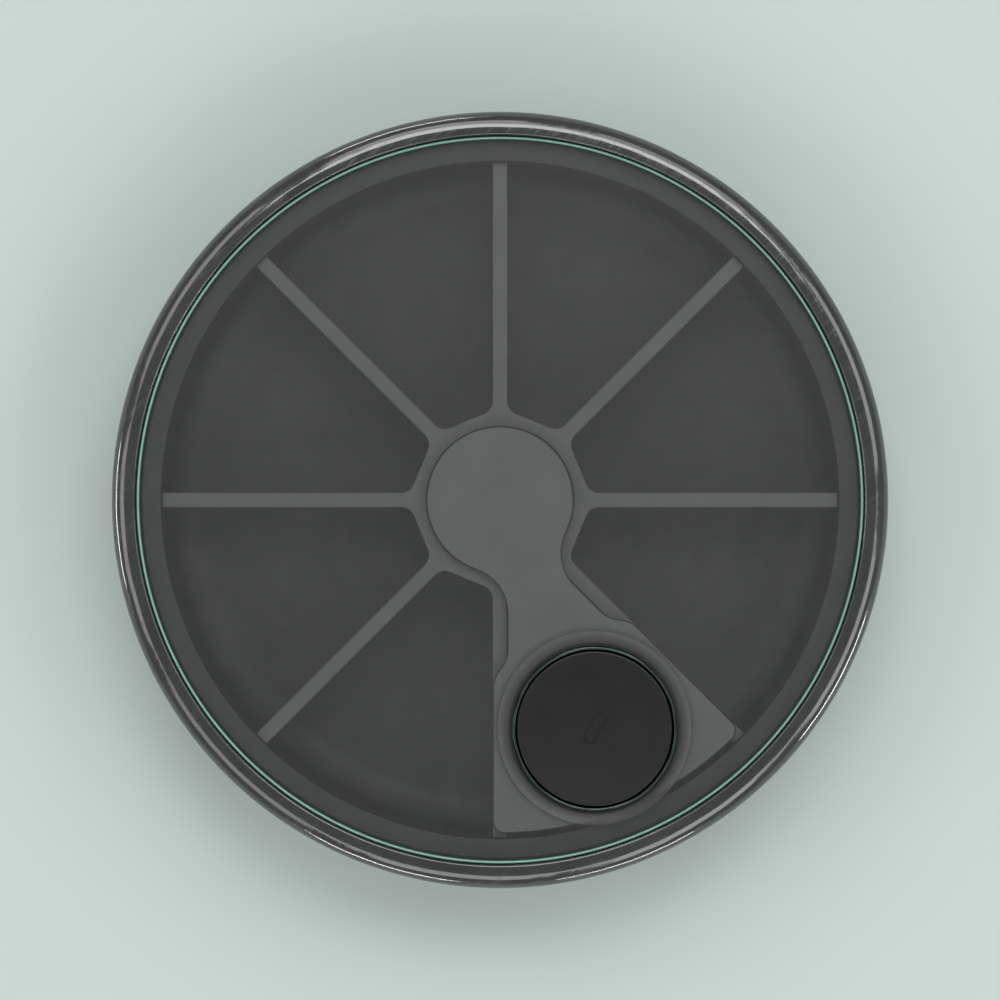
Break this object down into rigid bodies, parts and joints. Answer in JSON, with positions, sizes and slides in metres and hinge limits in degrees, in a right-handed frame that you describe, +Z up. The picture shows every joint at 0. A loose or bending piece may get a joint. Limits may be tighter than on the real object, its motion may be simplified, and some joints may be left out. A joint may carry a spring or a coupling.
{
  "type": "travel pill organizer",
  "caption": "Round travel pill organizer: divided tray round a hub in a polished smoke case, turning frosted lid with a keyhole plate and a black button cap over its port.",
  "frame": {"origin": "centre of the underside, on the plane that the case stands on", "axes": "+Z up along the lid's turning axis; +Y away from the user in the pictured view, +X to the right"},
  "size_m": [0.1, 0.1, 0.022],
  "materials": {
    "smoke_case": "polished smoke-tinted clear plastic",
    "smoke_window": "smoke-tinted clear plastic with a fine frost",
    "dark_tray": "moulded dark grey plastic with a fine spark texture",
    "grey_divider": "moulded grey plastic with a fine spark texture",
    "grey_plate": "moulded grey plastic, satin",
    "polished_liner": "polished",
    "dark_silicone": "soft, slightly dusty",
    "mint_silicone": "translucent pale green silicone",
    "grip_rubber": "ribbed matt rubber",
    "white_acetal": "smooth bearing plastic",
    "black_plastic": "moulded black plastic",
    "black_soft_touch": "soft-touch matt black",
    "spring_steel": "bright drawn steel",
    "screw_steel": "zinc-plated"
  },
  "bodies": {
    "base": {"base_shell": "smoke_case", "rim_ring": "smoke_case", "tray": "dark_tray", "divider": "grey_divider", "grip_ring": "grip_rubber", "hub_bush": "white_acetal", "click_spring": "spring_steel"},
    "spindle": {"spindle": "white_acetal", "spindle_washer": "spring_steel", "spindle_screw": "screw_steel"},
    "lid": {"lid_window": "smoke_window", "rotor_plate": "grey_plate", "drive_socket": "grey_plate", "port_liner": "polished_liner", "liner_gasket": "dark_silicone", "lid_edge_seal": "mint_silicone", "port_wiper": "dark_silicone"},
    "port_cap": {"cap_body": "black_plastic", "cap_plug": "black_plastic", "cap_seal": "dark_silicone", "button_spring": "spring_steel"},
    "button": {"button_disc": "black_soft_touch", "button_clip": "spring_steel"}
  },
  "joints": [
    {"name": "lid_turn", "type": "hinge", "parent": "base", "child": "spindle", "pos_m": [0, 0, 0], "axis": [0, 0, 1], "continuous": true},
    {"name": "lid_lift", "type": "slide", "parent": "spindle", "child": "lid", "axis": [0, 0, 1], "range_m": [0, 0.03]},
    {"name": "cap_lift", "type": "slide", "parent": "lid", "child": "port_cap", "axis": [0, 0, 1], "range_m": [0, 0.015]},
    {"name": "button_press", "type": "slide", "parent": "port_cap", "child": "button", "axis": [0, 0, -1], "range_m": [0, 0.0008], "stiffness_N_per_m": 400, "springref_m": -0.0008, "deforming": ["button_spring"]}
  ]
}
